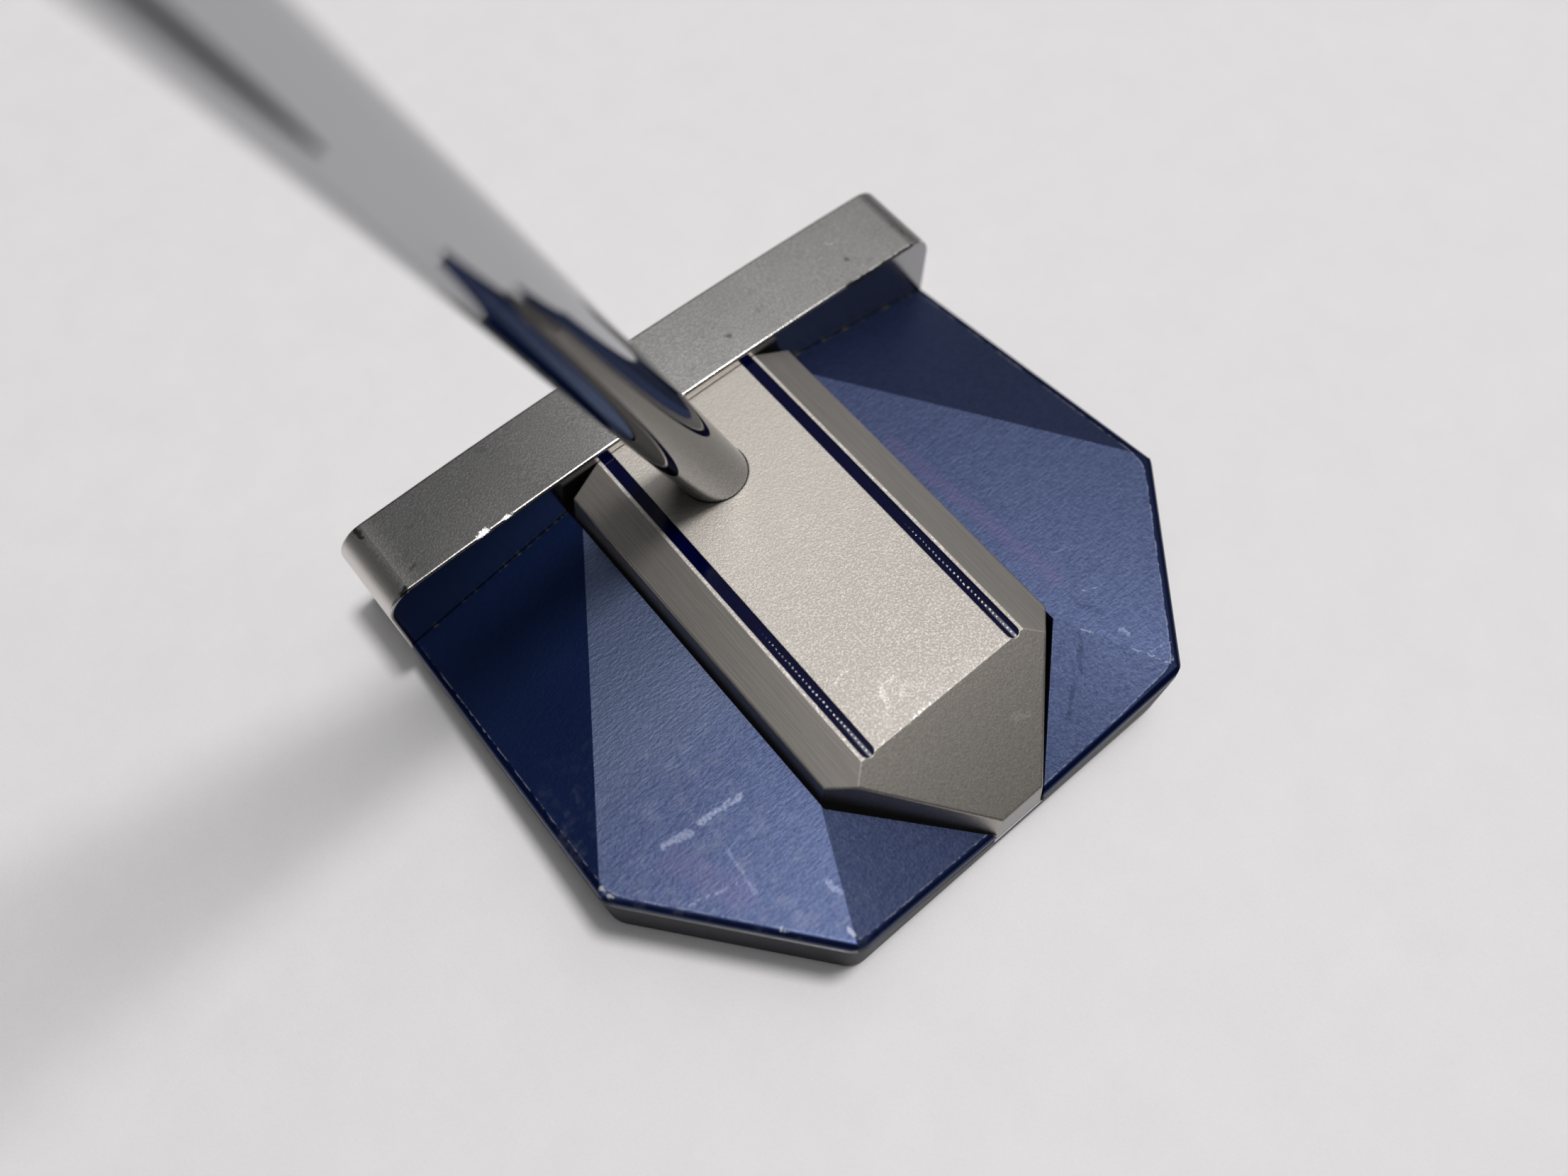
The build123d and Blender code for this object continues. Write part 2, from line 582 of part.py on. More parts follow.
def grip():
    mouth = CLUB_LENGTH - GRIP_LENGTH
    body = loft([Pos(0, 0, mouth + z) * grip_section(*sizes) for z, *sizes in GRIP_SECTIONS])
    bore = Cylinder(BUTT_DIAMETER / 2 + TAPE_THICKNESS, GRIP_LENGTH + 2, align=BOTTOM)
    return on_shaft(body - Pos(0, 0, mouth - 1) * bore)


def grip_tape():
    mouth = CLUB_LENGTH - GRIP_LENGTH
    return on_shaft(tube(BUTT_DIAMETER / 2, BUTT_DIAMETER / 2 + TAPE_THICKNESS, mouth + TAPE_START,
                         CLUB_LENGTH - CAP_THICKNESS))


def grip_end_cap():
    """Round-edged cap with a vent, plugged into the butt of the shaft."""
    _, *sizes = GRIP_SECTIONS[-1]
    top = CLUB_LENGTH - CAP_THICKNESS
    lid = loft([Pos(0, 0, top + CAP_THICKNESS * share) * grip_section(*[size - step for size in sizes])
                for share, step in CAP_ROUNDING])
    foot = Pos(0, 0, top - CAP_PLUG_LENGTH)
    plug = foot * Cylinder(BUTT_DIAMETER / 2 - SHAFT_WALL, CAP_PLUG_LENGTH, align=BOTTOM)
    vent = foot * Cylinder(VENT_RADIUS, CAP_PLUG_LENGTH + 2 * CAP_THICKNESS, align=BOTTOM)
    return on_shaft(lid + plug - vent)


# ---- screws, dowels and weights -----------------------------------------------------------------

def bar_screw(side):
    """Socket-head screw through the front wall of the base into the bar."""
    x, z = side * BAR_SCREW_X, BAR_SCREW_Z
    head_end = FRONT_WALL_BACK + M3["height"]
    shank = rod_along_y(x, z, FRONT_WALL_BACK - BAR_SCREW_LENGTH, FRONT_WALL_BACK, M3["thread"] / 2)
    head = rod_along_y(x, z, FRONT_WALL_BACK, head_end, M3["head"] / 2)
    socket = Pos(x, head_end, z) * Rot(90, 0, 0) * extrude(RegularPolygon(M3["hex"] / 2, 6), M3["socket"])
    return shank + head - socket


def bar_dowel(side):
    half = BAR_DOWEL_LENGTH / 2
    return rod_along_y(side * BAR_DOWEL_X, BAR_DOWEL_Z, BAR_DEPTH - half, BAR_DEPTH + half, DOWEL_RADIUS)


def spine_dowel(x, y):
    half = SPINE_DOWEL_LENGTH / 2
    return peg(x, y, SPINE_SEAT_Z - half, SPINE_SEAT_Z + half, DOWEL_RADIUS)


def sole_weight():
    """Steel plug with a flange and a hex socket, screwed in from below."""
    x, y = WEIGHT_SPOT
    flange = peg(x, y, SOLE_PANEL_DEPTH, SOLE_PANEL_DEPTH + WEIGHT_FLANGE, WEIGHT_FLANGE_RADIUS)
    flange = chamfer(flange.faces().sort_by(Axis.Z)[0].edges(), WEIGHT_CHAMFER)
    core = peg(x, y, SOLE_PANEL_DEPTH, SOLE_PANEL_DEPTH + WEIGHT_HEIGHT, WEIGHT_RADIUS)
    socket = Pos(x, y, 0) * extrude(RegularPolygon(WEIGHT_HEX / 2, 6), SOLE_PANEL_DEPTH + WEIGHT_SOCKET_DEPTH)
    return flange + core - socket


def weight_seal():
    x, y = WEIGHT_SPOT
    low = SOLE_PANEL_DEPTH + WEIGHT_FLANGE
    ring = peg(x, y, low, low + SEAL_HEIGHT, WEIGHT_FLANGE_RADIUS - SEAL_INSET)
    return ring - peg(x, y, low, low + SEAL_HEIGHT, WEIGHT_RADIUS + FIT_CLEARANCE)


# ---- write every node ---------------------------------------------------------------------------

def main():
    os.makedirs("parts", exist_ok=True)
    write("face_bar", face_bar())
    write("face_insert", face_insert())
    write("insert_bond", insert_bond())
    write("base_pan", base_pan())
    heel_wing, toe_wing = both_sides(wing())
    write("heel_wing", heel_wing)
    write("toe_wing", toe_wing)
    write("spine", spine())
    write("heel_sight_line", sight_line(1))
    write("toe_sight_line", sight_line(-1))
    write("shaft", shaft())
    write("shaft_epoxy", shaft_epoxy())
    write("shaft_tip_plug", shaft_tip_plug())
    write("grip", grip())
    write("grip_tape", grip_tape())
    write("grip_end_cap", grip_end_cap())
    write("bar_screws", bar_screw(1), bar_screw(-1))
    write("bar_dowels", bar_dowel(1), bar_dowel(-1))
    write("spine_screws", *[countersunk_screw(x, y, SPINE_SCREW_LENGTH, M4) for x, y in SPINE_SCREW_SPOTS])
    write("spine_dowels", *[spine_dowel(x, y) for x, y in SPINE_DOWEL_SPOTS])
    wing_screws = [countersunk_screw(x, y, WING_SCREW_LENGTH, M3) for x, y in WING_SCREW_SPOTS]
    write("heel_wing_screws", *wing_screws)
    write("toe_wing_screws", *[mirror(screw, about=Plane.YZ) for screw in wing_screws])
    heel_weight, toe_weight = both_sides(sole_weight())
    write("heel_weight", heel_weight)
    write("toe_weight", toe_weight)
    write("weight_seals", *both_sides(weight_seal()))


main()
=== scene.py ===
"""Looks of a centre-shafted mallet putter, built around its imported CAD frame.

The frame gives every solid: face bar, wings, spine, base, shaft, grip and fasteners. This script gives
each one its surface, puts a ribbed grip in place of the plain one, and sets up the pale floor, the soft
overhead light and the camera. Lengths in the materials, the wear and the grip are millimetres; the floor,
the lights and the camera are in metres, as the frame is.
"""

import math

import bpy
from mathutils import Matrix, Vector


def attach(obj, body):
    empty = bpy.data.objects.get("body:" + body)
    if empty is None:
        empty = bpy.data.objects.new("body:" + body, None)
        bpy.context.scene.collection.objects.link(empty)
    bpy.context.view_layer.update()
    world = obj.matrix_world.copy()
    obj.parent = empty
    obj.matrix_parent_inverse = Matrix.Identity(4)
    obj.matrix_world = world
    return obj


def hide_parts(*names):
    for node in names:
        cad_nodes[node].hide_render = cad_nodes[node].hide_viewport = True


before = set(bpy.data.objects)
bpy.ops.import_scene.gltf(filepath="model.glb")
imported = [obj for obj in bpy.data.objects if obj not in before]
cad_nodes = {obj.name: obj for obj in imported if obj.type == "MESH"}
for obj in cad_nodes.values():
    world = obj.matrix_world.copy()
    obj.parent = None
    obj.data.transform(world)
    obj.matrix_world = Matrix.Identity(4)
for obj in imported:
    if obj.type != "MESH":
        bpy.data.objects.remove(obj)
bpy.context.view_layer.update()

MM = 0.001
TINY = 1e-9                # keeps a mark of no length from dividing by zero
WAVES_PER_MM = 0.8         # how often a mark's line wavers
SPECKLES_PER_MM = 3.0      # how fine the ragged edge of a mark is

# ---- node helpers -------------------------------------------------------------------------------


class Surface:
    """One procedural material. Every helper takes sockets or plain values and returns a socket."""

    def __init__(self, name):
        self.material = bpy.data.materials.new(name)
        self.material.use_nodes = True
        self.tree = self.material.node_tree
        self.tree.nodes.clear()
        geometry = self.add("ShaderNodeNewGeometry")
        self.place = self.vector("SCALE", geometry.outputs["Position"], scale=1 / MM)
        self.normal = geometry.outputs["Normal"]
        self.x, self.y, self.z = self.split(self.place)
        self.nx, self.ny, self.nz = self.split(self.normal)

    def add(self, kind, **settings):
        node = self.tree.nodes.new(kind)
        for key, value in settings.items():
            setattr(node, key, value)
        return node

    def put(self, socket, value):
        if isinstance(value, bpy.types.NodeSocket):
            self.tree.links.new(value, socket)
        elif socket.type == "RGBA" and len(value) == 3:
            socket.default_value = (*value, 1.0)
        else:
            socket.default_value = value

    def split(self, vector):
        node = self.add("ShaderNodeSeparateXYZ")
        self.put(node.inputs[0], vector)
        return node.outputs[0], node.outputs[1], node.outputs[2]

    def vector(self, operation, first, second=None, scale=None):
        node = self.add("ShaderNodeVectorMath", operation=operation)
        self.put(node.inputs[0], first)
        if second is not None:
            self.put(node.inputs[1], second)
        if scale is not None:
            self.put(node.inputs["Scale"], scale)
        return node.outputs["Value" if operation in ("DOT_PRODUCT", "LENGTH", "DISTANCE") else "Vector"]

    def math(self, operation, *values, clamp=False):
        node = self.add("ShaderNodeMath", operation=operation, use_clamp=clamp)
        for socket, value in zip(node.inputs, values):
            self.put(socket, value)
        return node.outputs[0]

    def times(self, *values):
        total = values[0]
        for value in values[1:]:
            total = self.math("MULTIPLY", total, value)
        return total

    def plus(self, *values):
        total = values[0]
        for value in values[1:]:
            total = self.math("ADD", total, value)
        return total

    def most(self, *values):
        total = values[0]
        for value in values[1:]:
            total = self.math("MAXIMUM", total, value)
        return total

    def step(self, value, low, high):
        """Smooth step: 0 at low, 1 at high. With low above high it falls instead."""
        node = self.add("ShaderNodeMapRange", interpolation_type="SMOOTHSTEP")
        flipped = low > high
        self.put(node.inputs["Value"], value)
        self.put(node.inputs["From Min"], min(low, high))
        self.put(node.inputs["From Max"], max(low, high))
        self.put(node.inputs["To Min"], 1.0 if flipped else 0.0)
        self.put(node.inputs["To Max"], 0.0 if flipped else 1.0)
        return node.outputs["Result"]

    def stretch(self, factors):
        """The place with each axis scaled, to draw a pattern out along the axes with small factors."""
        return self.vector("MULTIPLY", self.place, factors)

    def noise(self, per_mm, detail=2.0, roughness=0.5, place=None, shift=0.0):
        """Smooth noise from 0 to 1, with features about 1 / per_mm millimetres wide."""
        node = self.add("ShaderNodeTexNoise", noise_dimensions="4D")
        self.put(node.inputs["Vector"], place or self.place)
        self.put(node.inputs["W"], shift)
        self.put(node.inputs["Scale"], per_mm)
        self.put(node.inputs["Detail"], detail)
        self.put(node.inputs["Roughness"], roughness)
        return node.outputs["Fac"]

    def mix(self, share, first, second):
        """Colour between first (share 0) and second (share 1)."""
        node = self.add("ShaderNodeMix", data_type="RGBA")
        self.put(node.inputs[0], share)
        self.put(node.inputs[6], first)
        self.put(node.inputs[7], second)
        return node.outputs[2]

    def lerp(self, share, first, second):
        """Number between first (share 0) and second (share 1)."""
        node = self.add("ShaderNodeMix", data_type="FLOAT")
        self.put(node.inputs[0], share)
        self.put(node.inputs[2], first)
        self.put(node.inputs[3], second)
        return node.outputs[0]

    def from_line(self, start, end, wobble):
        """Ragged distance in millimetres from the straight stretch between two points."""
        run = Vector(end) - Vector(start)
        offset = self.vector("SUBTRACT", self.wavy(wobble), start)
        along = self.vector("DOT_PRODUCT", offset, tuple(run / max(run.length_squared, TINY)))
        foot = self.vector("SCALE", tuple(run), scale=self.math("ADD", along, 0.0, clamp=True))
        return self.vector("DISTANCE", offset, foot)

    def wavy(self, size):
        """The place pushed about by noise, so that a straight mark becomes ragged."""
        node = self.add("ShaderNodeTexNoise")
        self.put(node.inputs["Vector"], self.place)
        self.put(node.inputs["Scale"], WAVES_PER_MM)
        push = self.vector("SUBTRACT", node.outputs["Color"], (0.5, 0.5, 0.5))
        return self.vector("ADD", self.place, self.vector("SCALE", push, scale=2 * size))

    def marks(self, rows, wobble=0.5):
        """The strength of ragged marks, from rows of start, end, half width and strength: 0 elsewhere."""
        speckle = self.noise(SPECKLES_PER_MM)
        total = 0.0
        for start, end, width, strength in rows:
            distance = self.from_line(start, end, wobble)
            # the noise moves the edge in and out around the half width
            edge = self.times(self.plus(speckle, 0.3), width * 1.5)
            share = self.math("SUBTRACT", 1.0, self.math("DIVIDE", distance, edge), clamp=True)
            total = self.most(total, self.times(self.step(share, 0.0, 0.6), strength))
        return total

    def soft_edges(self, radius):
        """The normal as it would be if every edge were rounded by this radius."""
        node = self.add("ShaderNodeBevel", samples=4)
        self.put(node.inputs["Radius"], radius * MM)
        return node.outputs[0]

    def worn_edges(self, radius):
        """1 along sharp edges, 0 on flat stretches."""
        return self.step(self.vector("DOT_PRODUCT", self.soft_edges(radius), self.normal), 0.995, 0.9)

    def bump(self, height, depth, under=None):
        """Normal of a relief whose height of 1 stands depth millimetres tall."""
        node = self.add("ShaderNodeBump")
        self.put(node.inputs["Height"], height)
        self.put(node.inputs["Distance"], self.times(depth, MM))
        self.put(node.inputs["Strength"], 1.0)
        if under is not None:
            self.put(node.inputs["Normal"], under)
        return node.outputs[0]

    def finish(self, **values):
        """Closes the material with a Principled shader; names have underscores for spaces."""
        shader = self.add("ShaderNodeBsdfPrincipled")
        output = self.add("ShaderNodeOutputMaterial")
        for key, value in values.items():
            self.put(shader.inputs[key.replace("_", " ")], value)
        self.tree.links.new(shader.outputs[0], output.inputs[0])
        return self.material


def dress(node_name, material):
    """Gives one CAD node its material."""
    slots = cad_nodes[node_name].data.materials
    slots.clear()
    slots.append(material)


# ---- wear ---------------------------------------------------------------------------------------

# outline of the wings in plan: half width, then the slanting side's normal and reach, then the rear edge
WING_SIDE = 50.1
WING_SLANT = (0.77, 0.638, 50.33)
WING_REAR = 43.65
RIM_BLEND = 2.3            # how gently the rim turns the corners of the outline

# the front facets of the wings end where y = RIDGE_SLOPE * abs(x) + RIDGE_START
RIDGE_SLOPE = 1.518
RIDGE_START = -58.5
RIDGE_BLEND = 0.2
WING_FRONT = -30.25        # the wings meet the bar's rear wall just ahead of this y

PAINT_MIDDLE = 12.9        # the painted grooves run at this distance from the middle
BEAD_PITCH = 0.70
BEAD_RADIUS = 0.26

# every row: start, end, half width, strength; most places were picked by eye in the photo and carried
# onto the head by a helper program, through the fitted camera, and the others were set by eye
WING_WHITE_MARKS = (
    ((34.5, 18.0, 15.2), (28.4, 18.6, 15.1), 0.50, 0.9),
    ((39.9, 17.5, 15.2), (36.4, 18.3, 15.2), 0.60, 0.8),
    ((42.0, 25.6, 15.4), (35.7, 27.3, 15.3), 0.20, 0.6),
    ((34.0, 23.3, 15.2), (34.6, 29.7, 15.3), 0.30, 0.4),
    ((26.8, 34.5, 15.2), (26.3, 36.6, 15.2), 0.45, 0.8),
    ((-23.0, 30.7, 15.1), (-23.7, 32.0, 15.1), 0.16, 0.9),
    ((-26.0, 36.9, 15.2), (-28.5, 41.9, 15.3), 0.16, 1.0),
    ((-27.5, 39.0, 15.3), (-30.9, 39.7, 15.3), 0.14, 0.5),
    ((-27.3, 26.5, 15.1), (-29.0, 27.4, 15.2), 0.14, 0.8),
    ((-27.0, 34.2, 15.2), (-27.1, 35.1, 15.2), 0.45, 0.6),
    ((-28.1, 19.5, 15.1), (-30.4, 20.5, 15.1), 0.12, 0.6),
)
WING_CHIPS = (
    ((49.3, 16.8, 15.2), (48.9, 18.6, 15.1), 0.35, 0.7),
    ((34.9, 35.2, 15.0), (34.5, 35.8, 15.0), 0.40, 1.0),
    ((28.5, 40.5, 15.3), (28.5, 41.4, 15.3), 0.30, 0.7),
    ((-29.0, 42.0, 15.2), (-29.8, 41.2, 15.1), 0.20, 0.7),
)
WING_DARK_MARKS = (
    ((-22.3, 30.7, 14.9), (-18.9, 34.7, 13.5), 0.40, 0.6),
    ((-16.8, 35.5, 12.9), (-13.6, 38.4, 11.7), 0.50, 0.6),
    ((-26.9, 30.5, 15.1), (-25.0, 27.0, 15.1), 0.35, 0.5),
)
WING_PURPLE_MARKS = (
    ((-22.8, -9.1, 14.7), (-25.6, 23.1, 15.1), 1.3, 0.8),
    ((40.0, 20.0, 15.3), (36.0, 29.0, 15.3), 2.2, 0.6),
)
SPINE_SCUFFS_AND_GLINTS = (
    ((-5.7, 33.9, 17.2), (-7.8, 34.9, 16.7), 0.55, 0.35),
    ((5.3, 34.7, 16.8), (6.3, 37.6, 15.5), 0.25, 0.15),
    ((6.8, 23.0, 20.6), (6.0, 20.4, 20.6), 0.50, 0.22),
    ((6.0, 20.4, 20.6), (3.4, 20.6, 20.6), 0.40, 0.18),
    ((4.4, 23.0, 20.6), (2.8, 22.2, 20.6), 0.45, 0.20),
    ((11.1, 16.1, 20.6), (7.3, 15.7, 20.6), 0.25, 0.20),
    ((-18.0, -9.8, 19.1), (-18.0, -8.5, 19.1), 0.9, 0.10),
    ((-14.3, -29.0, 20.5), (-14.3, 12.0, 20.5), 0.16, 0.45),
    ((14.3, -29.0, 20.5), (14.3, 26.0, 20.5), 0.16, 0.45),
    # the two rows below are partly wear and partly a painted highlight: a bright line along the edge
    # between top and nose
    ((14.0, 26.3, 20.55), (2.0, 26.3, 20.55), 0.14, 1.0),
    ((2.0, 26.3, 20.55), (-13.0, 26.3, 20.55), 0.10, 0.6),
)
BAR_BRIGHT_MARKS = (
    ((34.0, -31.0, 21.9), (32.7, -31.1, 21.9), 0.60, 1.0),
    ((29.7, -30.9, 22.0), (28.6, -30.7, 22.0), 0.45, 1.0),
    ((32.7, -30.8, 21.9), (29.7, -30.7, 22.0), 0.15, 1.0),
    ((-35.2, -39.5, 21.3), (-36.1, -38.2, 21.3), 0.20, 0.15),
)
BAR_DARK_MARKS = (
    ((46.6, -43.3, 20.8), (46.4, -41.7, 20.8), 0.45, 0.9),
    ((46.8, -30.9, 20.8), (46.0, -31.2, 20.8), 0.55, 1.0),
    ((48.9, -30.3, 20.0), (48.5, -30.8, 20.3), 0.45, 1.0),
    ((-33.0, -30.8, 21.5), (-46.0, -30.8, 20.7), 0.35, 1.0),
    ((-46.4, -36.5, 20.6), (-46.3, -33.0, 20.6), 0.25, 0.6),
    ((-36.1, -34.8, 21.4), (-36.1, -34.8, 21.4), 0.45, 0.7),
    ((-12.9, -34.8, 22.1), (-12.9, -34.8, 22.1), 0.60, 0.6),
    ((43.1, -33.2, 20.8), (43.6, -33.0, 20.8), 0.50, 0.5),
)

# ---- materials ----------------------------------------------------------------------------------

RUBBER_LIGHTER = 1.8       # how much lighter the pale grain of rubber is
ROUGHNESS_SPREAD = 0.15    # how far the roughness of a plain finish strays from its middle


def bar_steel():
    """Satin steel with painted shade towards the heel, a rubbed rear edge painted brighter as a
    highlight, and a mirror-like rear wall.
    """
    s = Surface("bar_steel")
    grain = s.noise(3.2, detail=3.0, roughness=0.7)
    patches = s.noise(0.09, detail=3.0)
    smudges = s.step(s.noise(0.30, detail=2.0, shift=3.0), 0.66, 0.74)
    rear = s.step(s.ny, 0.6, 0.9)
    brushed = s.noise(1.0, detail=2.0, place=s.stretch((0.15, 1.0, 9.0)))
    tone = s.mix(patches, (0.25, 0.248, 0.245), (0.32, 0.316, 0.31))
    tone = s.mix(s.times(s.step(grain, 0.42, 0.66), 0.55), tone, (0.50, 0.495, 0.49))
    tone = s.mix(s.times(smudges, 0.25), tone, (0.10, 0.10, 0.10))
    # painted shade: the top is darkened towards the heel, up to its rounded end
    painted_heel_shade = s.times(s.step(s.x, -6.0, 26.0), s.step(s.x, 47.5, 43.0), s.step(s.nz, 0.90, 0.97))
    # painted highlight: the rounded heel end is lightened
    tone = s.mix(s.step(s.nx, 0.20, 0.6), tone, (0.80, 0.77, 0.74))
    tone = s.mix(s.times(painted_heel_shade, 0.48), tone, (0.02, 0.02, 0.022))
    # painted reflection and shade: the mirror-like rear wall is lighter beside the spine, where it
    # mirrors the spine, and darker elsewhere, where it mirrors the blue wings
    beside_spine = s.step(s.math("ABSOLUTE", s.x), 15.0, 13.5)
    tone = s.mix(rear, tone, s.mix(beside_spine, (0.28, 0.28, 0.29), (0.78, 0.76, 0.74)))
    # the rear top edge is lightened partly as rubbed metal and partly as a painted highlight, dimmer
    # towards the heel with the painted shade
    polished = s.times(s.step(s.ny, 0.03, 0.12), s.step(s.ny, 0.75, 0.55), s.step(s.nz, 0.3, 0.6))
    wear_and_glint = s.times(polished, s.step(patches, 0.25, 0.60), s.lerp(painted_heel_shade, 1.0, 0.55))
    tone = s.mix(wear_and_glint, tone, (0.62, 0.60, 0.58))
    dark = s.marks(BAR_DARK_MARKS)
    bright = s.marks(BAR_BRIGHT_MARKS, wobble=0.3)
    tone = s.mix(s.times(dark, 0.9), tone, (0.02, 0.02, 0.02))
    tone = s.mix(bright, tone, (0.95, 0.95, 0.95))
    rough = s.lerp(rear, s.lerp(patches, 0.36, 0.46), s.lerp(brushed, 0.12, 0.20))
    rough = s.lerp(polished, rough, 0.24)
    rough = s.lerp(bright, rough, 0.55)
    height = s.plus(s.lerp(rear, grain, s.times(brushed, 0.2)), s.times(bright, -3.0))
    return s.finish(Base_Color=tone, Metallic=1.0, Roughness=rough, Normal=s.bump(height, 0.030))


def rim_inset(s):
    """How far inside the outline of the wings a point lies, seen from above."""
    across = s.math("ABSOLUTE", s.x)
    side = s.math("SUBTRACT", WING_SIDE, across)
    slant_x, slant_y, slant_reach = WING_SLANT
    slant = s.math("SUBTRACT", slant_reach, s.plus(s.times(across, slant_x), s.times(s.y, slant_y)))
    rear = s.math("SUBTRACT", WING_REAR, s.y)
    return s.math("SMOOTH_MIN", s.math("SMOOTH_MIN", side, slant, RIM_BLEND), rear, RIM_BLEND)


def wing_blue():
    """Blue anodising, finely peened, with a darker smooth rim, wear on the heel side, and scratches."""
    s = Surface("wing_blue")
    past_ridge = s.math("SUBTRACT", s.y, s.times(s.math("ABSOLUTE", s.x), RIDGE_SLOPE))
    front = s.step(past_ridge, RIDGE_START + RIDGE_BLEND, RIDGE_START - RIDGE_BLEND)
    behind = s.step(past_ridge, RIDGE_START - RIDGE_BLEND, RIDGE_START + RIDGE_BLEND)
    heel = s.step(s.x, 10.0, 20.0)
    lit_most = s.times(behind, heel, s.step(s.y, 16.0, 2.0))
    peened = s.noise(2.1, detail=3.0, roughness=0.7)
    weave = s.noise(2.2, detail=2.0, place=s.stretch((0.35, 1.3, 1.0)))
    patches = s.noise(0.07, detail=3.0)
    blotches = s.noise(0.45, detail=4.0, roughness=0.65, shift=2.0)
    ragged = s.noise(1.1, detail=3.0, shift=5.0)
    toe_side = s.step(s.x, -18.0, -26.0)
    inset = s.plus(rim_inset(s), s.times(s.plus(ragged, -0.5), 0.5), s.times(toe_side, -0.30))
    rim = s.step(inset, 1.15, 0.95)
    rim_line = s.times(s.step(inset, 1.30, 1.15), s.step(inset, 1.0, 1.12), s.step(ragged, 0.42, 0.60))
    heel_wear = s.times(s.step(blotches, 0.48, 0.72), s.step(s.y, -8.0, 14.0), s.step(s.x, 20.0, 30.0))
    purple = s.times(s.marks(WING_PURPLE_MARKS, wobble=1.2), 0.7)
    white = s.marks(WING_WHITE_MARKS)
    chips = s.marks(WING_CHIPS, wobble=0.4)
    dark = s.marks(WING_DARK_MARKS, wobble=0.8)
    seam = s.times(s.step(s.y, WING_FRONT, WING_FRONT - 0.25), s.step(ragged, 0.5, 0.62))
    navy = s.mix(patches, (0.001, 0.0035, 0.020), (0.0016, 0.005, 0.028))
    navy = s.mix(s.times(white, s.step(peened, 0.25, 0.60), 0.80), navy, (0.36, 0.39, 0.48))
    navy = s.mix(s.times(heel_wear, 0.09), navy, (0.30, 0.32, 0.40))
    navy = s.mix(s.most(chips, s.times(rim_line, 0.25)), navy, (0.55, 0.55, 0.56))
    navy = s.mix(s.times(seam, 0.7), navy, (0.13, 0.12, 0.05))
    tint = s.mix(blotches, (0.36, 0.47, 0.88), (0.46, 0.57, 1.0))
    tint = s.mix(s.times(s.step(peened, 0.62, 0.38), 0.28), tint, (0.10, 0.15, 0.34))
    creases = s.noise(1.5, detail=3.0, roughness=0.6, place=s.stretch((0.6, 1.5, 1.0)), shift=7.0)
    tint = s.mix(s.times(s.step(creases, 0.56, 0.40), 0.22), tint, (0.08, 0.12, 0.30))
    tint = s.mix(s.times(lit_most, 0.55), tint, (0.54, 0.68, 1.0))
    # painted shade: the front facet on the heel side is tinted darker, for the shaft's shadow and the
    # dark surroundings it reflects
    tint = s.mix(s.times(front, heel, 0.75), tint, (0.10, 0.24, 0.82))
    tint = s.mix(purple, tint, (0.50, 0.47, 0.90))
    tint = s.mix(s.times(heel_wear, 0.35), tint, (0.62, 0.66, 0.92))
    tint = s.mix(s.times(dark, 0.6), tint, (0.08, 0.10, 0.20))
    tint = s.mix(rim, tint, s.mix(toe_side, (0.15, 0.20, 0.42), (0.06, 0.08, 0.18)))
    rough = s.lerp(rim, s.lerp(patches, 0.40, 0.48), 0.22)
    relief = s.bump(s.plus(s.times(peened, 0.55), s.times(weave, 0.45)), s.lerp(rim, 0.068, 0.012))
    return s.finish(Base_Color=navy, Roughness=rough, IOR=2.1, Specular_Tint=tint, Normal=relief)


